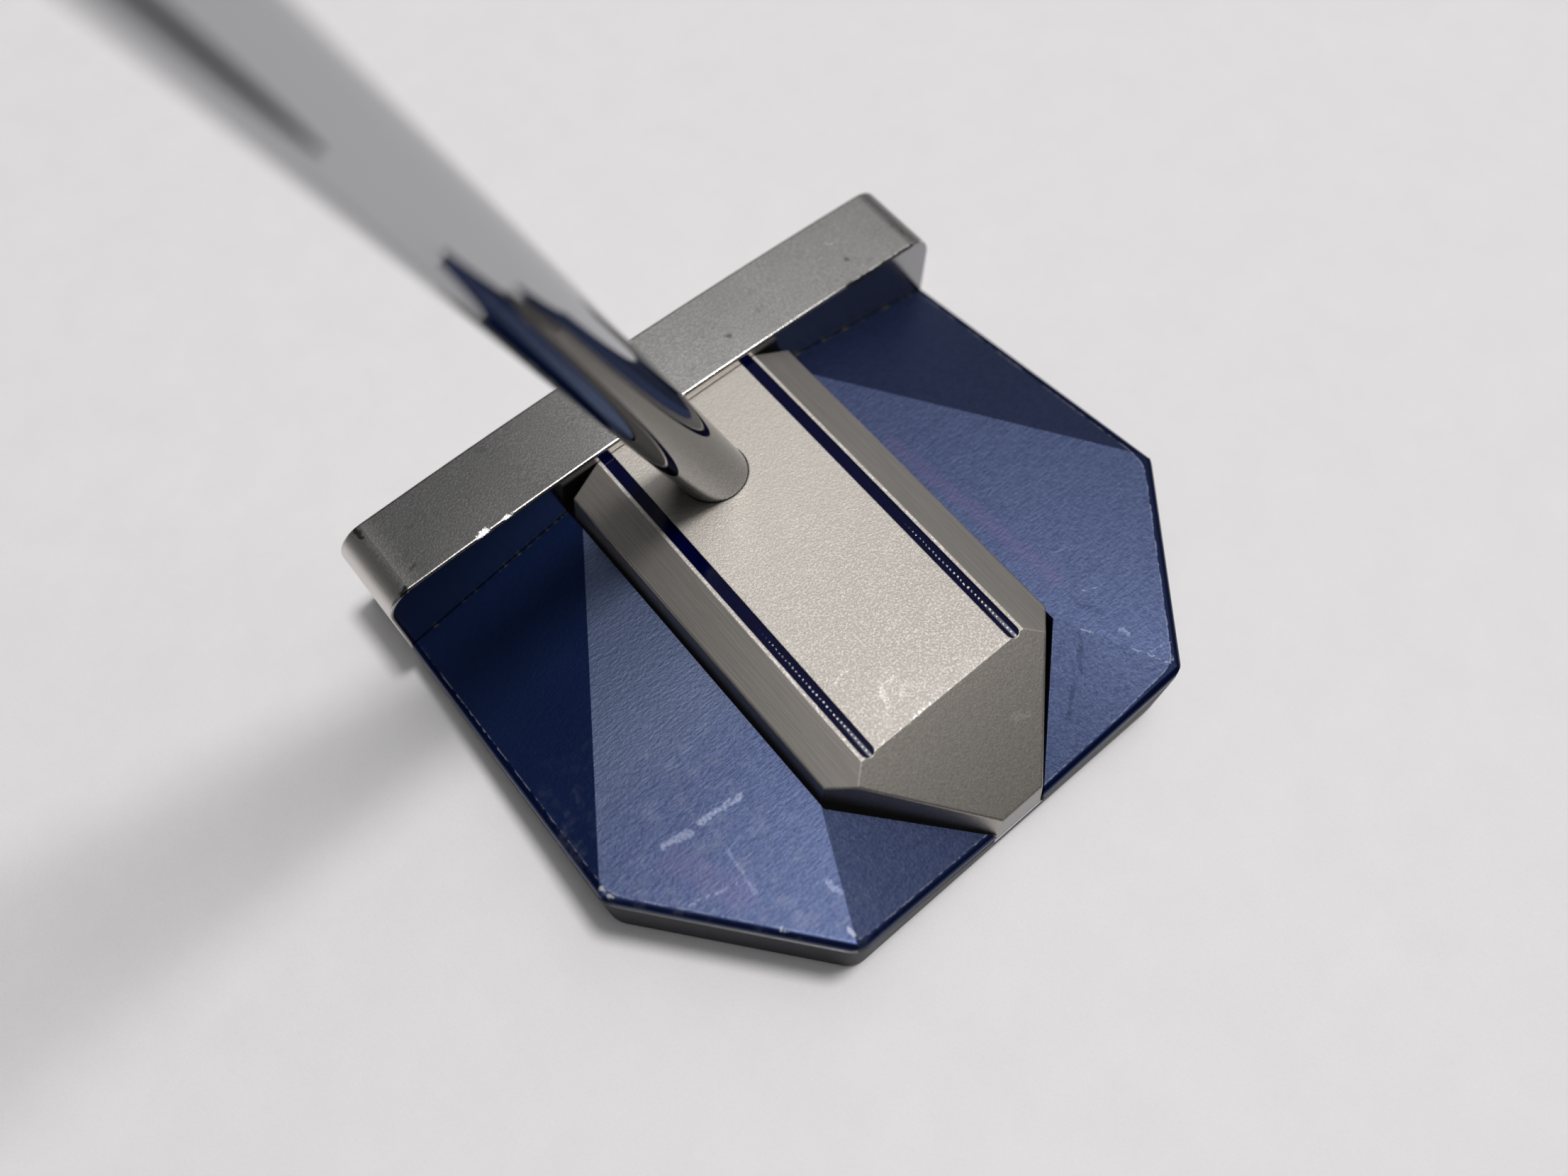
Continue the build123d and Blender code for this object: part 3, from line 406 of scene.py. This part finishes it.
def spine_metal():
    """Blasted on top and on the nose, brushed on the shoulders; painted shade towards the rear of the
    top; edges brighter from wear and a painted highlight.
    """
    s = Surface("spine_metal")
    top = s.step(s.nz, 0.97, 0.995)
    grain = s.noise(3.2, detail=3.0, roughness=0.7)
    skin = s.noise(1.4, detail=4.0, roughness=0.75, shift=9.0)
    clouds = s.noise(0.28, detail=4.0, roughness=0.6)
    brushed = s.noise(1.0, detail=3.0, place=s.stretch((4.4, 0.10, 4.4)))
    # edges lightened partly by wear and partly as a painted highlight
    wear_and_glint = s.times(s.worn_edges(0.22), s.step(s.noise(0.8, detail=3.0, shift=1.0), 0.40, 0.60))
    scuffs_and_glints = s.marks(SPINE_SCUFFS_AND_GLINTS, wobble=0.8)
    # painted shade: the top is darkened towards the rear, against the lamp's brighter highlight there
    flat = s.mix(s.step(s.y, -30.0, 24.0), (0.43, 0.405, 0.37), (0.245, 0.230, 0.212))
    speckle = s.times(s.step(grain, 0.48, 0.62), s.lerp(s.step(s.y, -25.0, 15.0), 0.22, 0.34))
    flat = s.mix(speckle, flat, (0.64, 0.615, 0.585))
    flat = s.mix(s.times(s.step(clouds, 0.50, 0.72), 0.15), flat, (0.46, 0.455, 0.45))
    nose = s.step(s.ny, 0.25, 0.40)
    side = s.mix(s.step(brushed, 0.30, 0.70), (0.53, 0.495, 0.46), (0.62, 0.58, 0.54))
    blasted = s.mix(s.step(grain, 0.35, 0.70), (0.38, 0.355, 0.325), (0.50, 0.47, 0.43))
    tail = s.step(s.ny, 0.80, 0.95)
    side = s.mix(s.most(nose, tail), side, s.mix(tail, blasted, (0.33, 0.32, 0.31)))
    tone = s.mix(top, side, flat)
    # lighter where metal is bared by wear and scuffs, and where a painted edge highlight runs
    bare_and_glint = s.most(s.times(wear_and_glint, 0.6), s.times(scuffs_and_glints, s.step(grain, 0.2, 0.7)))
    tone = s.mix(bare_and_glint, tone, (0.80, 0.79, 0.77))
    rough = s.lerp(top, 0.42, 0.50)
    pitted = s.plus(s.times(grain, 0.6), s.times(skin, 0.5))
    fine = s.lerp(s.most(top, nose), s.times(brushed, 0.5), pitted)
    relief = s.bump(fine, s.lerp(top, 0.030, 0.055), under=s.soft_edges(0.22))
    return s.finish(Base_Color=tone, Metallic=1.0, Roughness=rough, Normal=relief)


def base_metal():
    """Dark grey metal with fine upright brushing."""
    s = Surface("base_metal")
    brushed = s.noise(1.2, detail=3.0, place=s.stretch((1.0, 1.0, 0.08)))
    patches = s.noise(0.12, detail=3.0)
    tone = s.mix(patches, (0.062, 0.063, 0.067), (0.082, 0.083, 0.088))
    return s.finish(Base_Color=tone, Metallic=1.0, Roughness=s.lerp(brushed, 0.30, 0.38),
                    Specular_Tint=(0.38, 0.38, 0.40), Normal=s.bump(brushed, 0.01))


def navy_paint():
    """Glossy paint with a row of small beads in the rear half, painted with white highlights, and a
    painted highlight streak at the end.
    """
    s = Surface("navy_paint")
    across = s.math("SUBTRACT", s.math("ABSOLUTE", s.x), PAINT_MIDDLE)
    wander = s.times(s.plus(s.noise(0.9, shift=4.0), -0.5), 0.5)
    along = s.math("SUBTRACT", s.math("FRACT", s.times(s.plus(s.y, wander), 1 / BEAD_PITCH)), 0.5)
    beside = s.math("DIVIDE", s.plus(across, wander), BEAD_RADIUS)
    beyond = s.times(along, BEAD_PITCH / BEAD_RADIUS)
    from_bead = s.math("SQRT", s.plus(s.math("POWER", beside, 2.0), s.math("POWER", beyond, 2.0)))
    beaded = s.times(s.step(s.y, 2.0, 12.0), s.step(s.noise(0.7, shift=6.0), 0.30, 0.50))
    bead = s.times(s.step(from_bead, 1.1, 0.1), beaded)
    streak = s.times(s.step(s.math("ABSOLUTE", across), 0.35, 0.10), s.step(s.y, 19.0, 26.0))
    ripple = s.noise(0.5, detail=1.0)
    tone = s.mix(ripple, (0.0003, 0.0008, 0.014), (0.0005, 0.0014, 0.034))
    # painted highlight: the beads and the streak at the end of each groove are coloured near white
    painted_glints = s.most(s.times(s.step(bead, 0.2, 0.9), s.step(s.y, 4.0, 20.0)), s.times(streak, 0.30))
    tone = s.mix(painted_glints, tone, (0.90, 0.93, 1.0))
    return s.finish(Base_Color=tone, Roughness=0.12, Specular_IOR_Level=s.lerp(bead, 0.08, 1.0),
                    Normal=s.bump(s.plus(bead, s.times(ripple, 0.3)), 0.08))


def shaft_chrome():
    """Chrome, painted darker at the foot as shade in its reflections."""
    s = Surface("shaft_chrome")
    smudges = s.noise(0.08, detail=4.0)
    # painted shade: the chrome is darkened at its foot, where its reflections of the spine are dim
    tone = s.mix(s.step(s.z, 26.0, 62.0), (0.30, 0.30, 0.305), (0.46, 0.462, 0.474))
    return s.finish(Base_Color=tone, Metallic=1.0, Roughness=s.lerp(smudges, 0.025, 0.06))


def rubber(name, tone):
    """Matt rubber or cloth, mottled between its tone and a lighter one."""
    s = Surface(name)
    grain = s.noise(4.0, detail=2.0)
    colour = s.mix(grain, tone, tuple(RUBBER_LIGHTER * part for part in tone))
    return s.finish(Base_Color=colour, Roughness=s.lerp(grain, 0.55, 0.75), Normal=s.bump(grain, 0.03))


def plain(name, dark, light, metallic, roughness):
    """A fine-grained finish for pieces that are mostly hidden."""
    s = Surface(name)
    grain = s.noise(1.5, detail=3.0)
    rough = s.lerp(grain, roughness * (1 - ROUGHNESS_SPREAD), roughness * (1 + ROUGHNESS_SPREAD))
    return s.finish(Base_Color=s.mix(grain, dark, light), Metallic=metallic, Roughness=rough,
                    Normal=s.bump(grain, 0.01))


def floor_paper():
    """Pale paper with faint clouds and fibres."""
    s = Surface("floor_paper")
    mottle = s.noise(0.10, detail=6.0, roughness=0.65)
    fine = s.noise(2.2, detail=3.0, roughness=0.7)
    tone = s.mix(s.step(mottle, 0.20, 0.80), (0.835, 0.828, 0.845), (0.875, 0.868, 0.878))
    tone = s.mix(s.times(s.step(fine, 0.45, 0.80), 0.22), tone, (0.72, 0.715, 0.73))
    return s.finish(Base_Color=tone, Roughness=0.75, Normal=s.bump(fine, 0.05))


screw_steel = plain("screw_steel", (0.38, 0.38, 0.40), (0.52, 0.52, 0.54), 1.0, 0.3)
weight_steel = plain("weight_steel", (0.30, 0.30, 0.31), (0.44, 0.44, 0.45), 1.0, 0.35)
blue = wing_blue()
paint = navy_paint()
MATERIALS = {
    "face_bar": bar_steel(),
    "face_insert": plain("insert_metal", (0.45, 0.46, 0.48), (0.58, 0.59, 0.61), 1.0, 0.32),
    "insert_bond": plain("bond", (0.02, 0.02, 0.02), (0.05, 0.05, 0.05), 0.0, 0.6),
    "base_pan": base_metal(),
    "heel_wing": blue,
    "toe_wing": blue,
    "spine": spine_metal(),
    "heel_sight_line": paint,
    "toe_sight_line": paint,
    "shaft": shaft_chrome(),
    "shaft_epoxy": plain("epoxy", (0.010, 0.009, 0.008), (0.03, 0.028, 0.025), 0.0, 0.3),
    "shaft_tip_plug": plain("plug", (0.55, 0.48, 0.34), (0.66, 0.58, 0.42), 0.0, 0.6),
    "grip": rubber("grip_rubber", (0.012, 0.012, 0.014)),
    "grip_tape": plain("grip_tape", (0.60, 0.56, 0.46), (0.74, 0.70, 0.60), 0.0, 0.8),
    "grip_end_cap": rubber("cap_rubber", (0.016, 0.016, 0.018)),
    "bar_screws": screw_steel,
    "bar_dowels": screw_steel,
    "spine_screws": screw_steel,
    "spine_dowels": screw_steel,
    "heel_wing_screws": screw_steel,
    "toe_wing_screws": screw_steel,
    "heel_weight": weight_steel,
    "toe_weight": weight_steel,
    "weight_seals": plain("seal_rubber", (0.012, 0.012, 0.012), (0.03, 0.03, 0.03), 0.0, 0.6),
}
for node_name, material in MATERIALS.items():
    dress(node_name, material)

# ---- grip ---------------------------------------------------------------------------------------

SHAFT_FOOT = Vector((-4.768, -18.8, 0.0))    # where the shaft's axis meets the ground
SHAFT_LEAN = math.radians(19.7)
GRIP_START = 622.0         # from there along the axis to the grip's mouth
BORE_RADIUS = 7.75
GRIP_SIZES = (
    # distance from the grip mouth, half width, depth behind the axis, depth ahead of it, half of the flat
    (0.0, 8.9, 8.9, 8.8, 1.0),
    (30.0, 9.7, 9.7, 9.1, 4.0),
    (90.0, 10.7, 11.0, 9.6, 6.0),
    (150.0, 11.5, 12.8, 10.1, 7.0),
    (205.0, 12.2, 16.0, 10.6, 7.6),
    (240.0, 12.6, 17.6, 11.0, 7.8),
    (264.0, 12.5, 16.4, 11.0, 7.8),
)
GRIP_ROW = 0.75            # length of one row of faces
RIB_PITCH = 3.0
RIB_DEPTH = 0.45
RIB_AREA = (14.0, 250.0)   # from and to, along the grip
RIB_FADE = 5.0             # the ribs grow to full depth over this length
ROUNDED_END = 1.5
FLAT_STEPS = 8             # points along each stretch of a section
CORNER_STEPS = 14
BACK_STEPS = 40


def grip_sizes(distance):
    """Sizes of the section at a distance from the mouth, smoothly between the rows of GRIP_SIZES."""
    upper = next(index for index in range(1, len(GRIP_SIZES)) if distance <= GRIP_SIZES[index][0])
    rows = [GRIP_SIZES[min(max(index, 0), len(GRIP_SIZES) - 1)] for index in range(upper - 2, upper + 2)]
    before, low_row, high_row, after = rows
    share = (distance - low_row[0]) / (high_row[0] - low_row[0])

    def blend(column):
        slope_low = (high_row[column] - before[column]) / 2
        slope_high = (after[column] - low_row[column]) / 2
        square, cube = share ** 2, share ** 3
        return ((2 * cube - 3 * square + 1) * low_row[column] + (cube - 2 * square + share) * slope_low
                + (3 * square - 2 * cube) * high_row[column] + (cube - square) * slope_high)

    return [blend(column) for column in range(1, 5)]


def grip_outline(half_width, back, front, flat):
    """Points of one section and, for each, how deep its ribs are: none on the flat front."""
    points = [((-front, flat - 2 * flat * step / FLAT_STEPS), 0.0) for step in range(FLAT_STEPS)]
    for step in range(CORNER_STEPS):
        share = step / CORNER_STEPS
        turn = math.radians(180 + 90 * share)
        points.append(((front * math.cos(turn), -flat + (half_width - flat) * math.sin(turn)), share))
    for step in range(BACK_STEPS):
        turn = math.radians(270 + 180 * step / BACK_STEPS)
        points.append(((back * math.cos(turn), half_width * math.sin(turn)), 1.0))
    for step in range(CORNER_STEPS):
        share = step / CORNER_STEPS
        turn = math.radians(90 + 90 * share)
        points.append(((front * math.cos(turn), flat + (half_width - flat) * math.sin(turn)), 1 - share))
    return points


def grip_ring(distance, length):
    """One ring of the ribbed outside, pulled in where a groove runs round it."""
    inside_area = min((distance - RIB_AREA[0]) / RIB_FADE, (RIB_AREA[1] - distance) / RIB_FADE, 1.0)
    wave = 0.5 - 0.5 * math.cos(2 * math.pi * distance / RIB_PITCH)
    groove = RIB_DEPTH * wave ** 3 * max(inside_area, 0.0)
    near_end = max(ROUNDED_END - distance, distance - (length - ROUNDED_END), 0.0)
    rounding = ROUNDED_END / 2 * (1 - math.sqrt(max(1 - (near_end / ROUNDED_END) ** 2, 0.0)))
    ring = []
    for (x, y), share in grip_outline(*grip_sizes(distance)):
        reach = math.hypot(x, y)
        scale = (reach - groove * share - rounding) / reach
        ring.append((x * scale, y * scale, GRIP_START + distance))
    return ring


def bore_point(x, y, distance):
    """Where the direction of a point meets the bore, at a distance from the mouth."""
    scale = BORE_RADIUS / math.hypot(x, y)
    return x * scale, y * scale, GRIP_START + distance


def ribbed_grip():
    """Rings around the outside from mouth to butt, then the bore back to the mouth."""
    length = GRIP_SIZES[-1][0]
    rows = round(length / GRIP_ROW)
    rings = [grip_ring(length * row / rows, length) for row in range(rows + 1)]
    around = len(rings[0])
    for end in (length, 0.0):
        rings.append([bore_point(x, y, end) for x, y, _ in rings[rows]])
    count = len(rings)
    faces = []
    for ring in range(count):
        following = (ring + 1) % count
        for index in range(around):
            beside = (index + 1) % around
            faces.append((ring * around + index, ring * around + beside,
                          following * around + beside, following * around + index))
    turn = Matrix.Rotation(SHAFT_LEAN, 4, "Y")
    points = [(turn @ Vector(point) + SHAFT_FOOT) * MM for ring in rings for point in ring]
    mesh = bpy.data.meshes.new("ribbed_grip")
    mesh.from_pydata(points, [], faces)
    mesh.materials.append(rubber("ribbed_rubber", (0.012, 0.012, 0.014)))
    smooth = [True] * (rows * around) + [False] * (3 * around)
    mesh.polygons.foreach_set("use_smooth", smooth)
    piece = bpy.data.objects.new("ribbed_grip", mesh)
    bpy.context.scene.collection.objects.link(piece)
    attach(piece, "root")
    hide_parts("grip")


ribbed_grip()

# ---- floor, light and camera --------------------------------------------------------------------

# the camera's place, its axes and the lens come from a program's fit to the head's edges in the photo
CAMERA_PLACE = (0.04965, 0.05324, 0.17053)
CAMERA_RIGHT = Vector((-0.76898, 0.63928, 0.00028))
CAMERA_DOWN = Vector((0.58281, 0.70123, -0.41063))
CAMERA_FORWARD = Vector((-0.2627, -0.3156, -0.9118))
LENS = 27.83               # millimetres, on a sensor of this width
SENSOR_WIDTH = 36.0
NEAREST_SEEN = 0.005
FARTHEST_SEEN = 50.0
FOCUS_PLACE = (0.0, 0.005, 0.020)
APERTURE = 7.0
FLOOR_HALF = 6.0
BACKDROP = (0.52, 0.52, 0.53, 1.0)    # what the camera sees past the floor's edge
DISC_PLACE = Vector((0.094, 0.096, MM))
DISC_RADIUS = 0.050
DISC_CORNERS = 48
KEY_DIRECTION = Vector((-0.22, 0.038, 1.0)).normalized()
CEILING_DIRECTION = Vector((-0.12, 0.06, 1.0)).normalized()
LAMP_DISTANCE = 4.0
KEY_WIDTH = 0.66
KEY_WATTS = 80.0
KEY_COLOUR = (1.0, 0.98, 0.96)
CEILING_WIDTH = 1.90
CEILING_WATTS = 25.0
CEILING_COLOUR = (1.0, 0.985, 0.97)
SKY_CENTRE = Vector((-0.18, -0.10, 0.975)).normalized()
SKY_LEVELS = (
    # cosine of the angle from the centre, brightness
    (0.0, 0.06), (0.5, 0.09), (0.70, 0.19), (0.82, 0.38), (0.906, 0.66), (0.966, 0.95), (1.0, 1.05),
)
SKY_SHADES = (
    # centre of the shade, cosine inside which it is full, cosine where it ends, light left in it
    ((0.30, -0.70, 0.65), 0.90, 0.74, 0.08),
    ((-0.10, 0.75, 0.65), 0.88, 0.66, 0.12),
)


def floor():
    """A wide pale sheet under the sole."""
    mesh = bpy.data.meshes.new("floor")
    corners = [(x * FLOOR_HALF, y * FLOOR_HALF, 0.0) for x, y in ((-1, -1), (1, -1), (1, 1), (-1, 1))]
    mesh.from_pydata(corners, [], [(0, 1, 2, 3)])
    mesh.materials.append(floor_paper())
    piece = bpy.data.objects.new("floor", mesh)
    bpy.context.scene.collection.objects.link(piece)


def area_light(name, direction, width, watts, colour):
    """A round lamp that looks at the head from one direction."""
    data = bpy.data.lights.new(name, "AREA")
    data.shape = "DISK"
    data.size = width
    data.energy = watts
    data.color = colour
    lamp = bpy.data.objects.new(name, data)
    lamp.location = direction * LAMP_DISTANCE
    lamp.rotation_mode = "QUATERNION"
    lamp.rotation_quaternion = direction.to_track_quat("Z", "Y")
    bpy.context.scene.collection.objects.link(lamp)


def sky():
    """A bright ceiling that darkens towards the horizon, more so in two patches ahead and behind."""
    world = bpy.data.worlds.new("studio")
    bpy.context.scene.world = world
    world.use_nodes = True
    tree = world.node_tree
    tree.nodes.clear()

    def add(kind, *links, **settings):
        node = tree.nodes.new(kind)
        for key, value in settings.items():
            setattr(node, key, value)
        for socket, value in zip(node.inputs, links):
            if isinstance(value, bpy.types.NodeSocket):
                tree.links.new(value, socket)
            else:
                socket.default_value = value
        return node

    direction = add("ShaderNodeTexCoord").outputs["Generated"]
    nearness = add("ShaderNodeVectorMath", direction, SKY_CENTRE, operation="DOT_PRODUCT")
    ramp = add("ShaderNodeValToRGB", nearness.outputs["Value"])
    elements = ramp.color_ramp.elements
    for index, (place, level) in enumerate(SKY_LEVELS):
        stop = elements[index] if index < 2 else elements.new(place)
        stop.position = place
        stop.color = (level, level, level * 1.02, 1.0)
    light = ramp.outputs["Color"]
    for centre, inner, outer, share in SKY_SHADES:
        aim = Vector(centre).normalized()
        nearness = add("ShaderNodeVectorMath", direction, aim, operation="DOT_PRODUCT")
        fade = add("ShaderNodeMapRange", nearness.outputs["Value"], outer, inner, 1.0, share,
                   interpolation_type="SMOOTHSTEP")
        light = add("ShaderNodeVectorMath", light, operation="SCALE")
        tree.links.new(fade.outputs["Result"], light.inputs["Scale"])
        light = light.outputs["Vector"]
    seen = add("ShaderNodeMix", add("ShaderNodeLightPath").outputs["Is Camera Ray"], data_type="RGBA")
    tree.links.new(light, seen.inputs[6])
    seen.inputs[7].default_value = BACKDROP
    background = add("ShaderNodeBackground", seen.outputs[2])
    add("ShaderNodeOutputWorld", background.outputs[0])


def dark_floor_disc():
    """A dark round disc on the floor out of the picture, there only for glossy reflections: a streak in
    the chrome.
    """
    corners = []
    for index in range(DISC_CORNERS):
        turn = 2 * math.pi * index / DISC_CORNERS
        corners.append(DISC_PLACE + DISC_RADIUS * Vector((math.cos(turn), math.sin(turn), 0.0)))
    mesh = bpy.data.meshes.new("dark_floor_disc")
    mesh.from_pydata(corners, [], [tuple(range(DISC_CORNERS))])
    mesh.materials.append(rubber("dark_disc_surface", (0.02, 0.02, 0.022)))
    piece = bpy.data.objects.new("dark_floor_disc", mesh)
    piece.visible_camera = False
    piece.visible_diffuse = False
    piece.visible_shadow = False
    bpy.context.scene.collection.objects.link(piece)


def camera():
    """Close above the head, behind it and on the heel side, focused on the top of the spine."""
    data = bpy.data.cameras.new("camera")
    data.lens = LENS
    data.sensor_width = SENSOR_WIDTH
    data.clip_start = NEAREST_SEEN
    data.clip_end = FARTHEST_SEEN
    piece = bpy.data.objects.new("camera", data)
    bpy.context.scene.collection.objects.link(piece)
    turn = Matrix((CAMERA_RIGHT, -CAMERA_DOWN, -CAMERA_FORWARD)).transposed().to_4x4()
    piece.matrix_world = Matrix.Translation(CAMERA_PLACE) @ turn
    focus = bpy.data.objects.new("focus_point", None)
    focus.location = FOCUS_PLACE
    bpy.context.scene.collection.objects.link(focus)
    data.dof.use_dof = True
    data.dof.focus_object = focus
    data.dof.aperture_fstop = APERTURE
    bpy.context.scene.camera = piece


floor()
area_light("key", KEY_DIRECTION, KEY_WIDTH, KEY_WATTS, KEY_COLOUR)
area_light("ceiling", CEILING_DIRECTION, CEILING_WIDTH, CEILING_WATTS, CEILING_COLOUR)
dark_floor_disc()
sky()
camera()
bpy.context.scene.view_settings.view_transform = "Standard"
